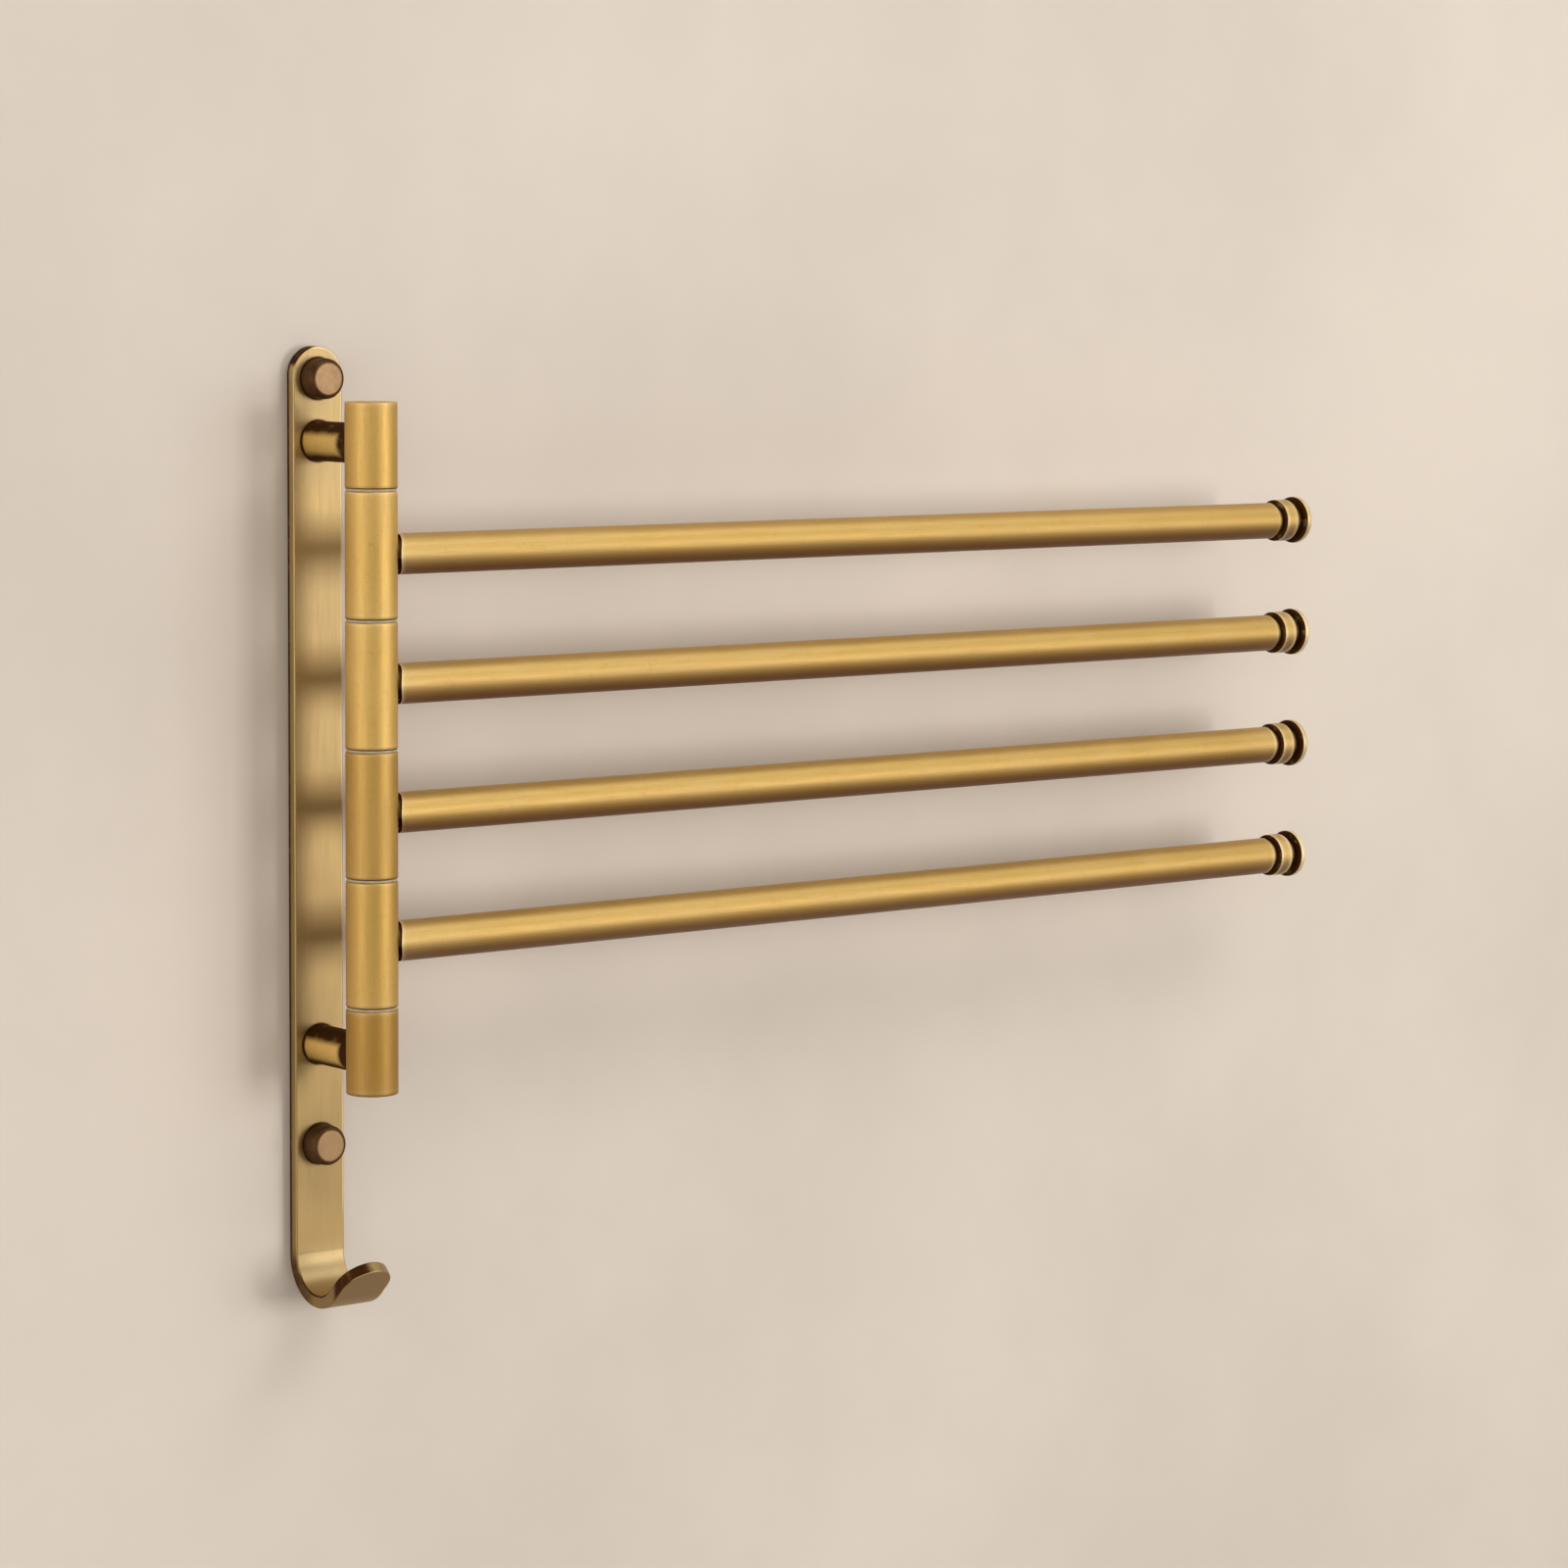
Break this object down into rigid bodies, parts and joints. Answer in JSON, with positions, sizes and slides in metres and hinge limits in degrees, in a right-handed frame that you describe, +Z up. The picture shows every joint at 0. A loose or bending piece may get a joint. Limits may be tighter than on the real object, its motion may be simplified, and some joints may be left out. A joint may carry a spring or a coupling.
{
  "type": "swing arm towel bar",
  "caption": "Wall-mounted swing arm towel bar: slim backplate ending in a hook, upright post on standoffs, round arms that swivel in a half circle.",
  "frame": {"origin": "on the backplate's back face, level with the middle of the post", "axes": "+Z up, +Y into the wall, +X to the right along the wall, the way the arms point at rest"},
  "size_m": [0.4076, 0.0754, 0.2998],
  "materials": {
    "antique_brass": "satin brushed antique brass, darker in the grooves",
    "steel": "plain zinc-plated steel",
    "nylon": "pale natural nylon"
  },
  "bodies": {
    "base": {"backplate": "antique_brass", "spindle": "steel", "boss_upper": "antique_brass", "standoff_upper": "antique_brass", "standoff_screw_upper": "steel", "wall_screw_upper": "steel", "cap_seat_upper": "steel", "screw_cap_upper": "antique_brass", "boss_lower": "antique_brass", "standoff_lower": "antique_brass", "standoff_screw_lower": "steel", "wall_screw_lower": "steel", "cap_seat_lower": "steel", "screw_cap_lower": "antique_brass", "washer_1": "nylon", "washer_2": "nylon", "washer_3": "nylon", "washer_4": "nylon", "washer_5": "nylon"},
    "arm_1": {"sleeve_1": "antique_brass", "bar_stud_1": "antique_brass", "bar_tube_1": "antique_brass", "bar_end_cap_1": "antique_brass"},
    "arm_2": {"sleeve_2": "antique_brass", "bar_stud_2": "antique_brass", "bar_tube_2": "antique_brass", "bar_end_cap_2": "antique_brass"},
    "arm_3": {"sleeve_3": "antique_brass", "bar_stud_3": "antique_brass", "bar_tube_3": "antique_brass", "bar_end_cap_3": "antique_brass"},
    "arm_4": {"sleeve_4": "antique_brass", "bar_stud_4": "antique_brass", "bar_tube_4": "antique_brass", "bar_end_cap_4": "antique_brass"}
  },
  "joints": [
    {"name": "arm_1_swing", "type": "hinge", "parent": "base", "child": "arm_1", "pos_m": [0, -0.0332, 0.06], "axis": [0, 0, 1], "range_deg": [-183, 3]},
    {"name": "arm_2_swing", "type": "hinge", "parent": "base", "child": "arm_2", "pos_m": [0, -0.0332, 0.02], "axis": [0, 0, 1], "range_deg": [-183, 3]},
    {"name": "arm_3_swing", "type": "hinge", "parent": "base", "child": "arm_3", "pos_m": [0, -0.0332, -0.02], "axis": [0, 0, 1], "range_deg": [-183, 3]},
    {"name": "arm_4_swing", "type": "hinge", "parent": "base", "child": "arm_4", "pos_m": [0, -0.0332, -0.06], "axis": [0, 0, 1], "range_deg": [-183, 3]}
  ]
}
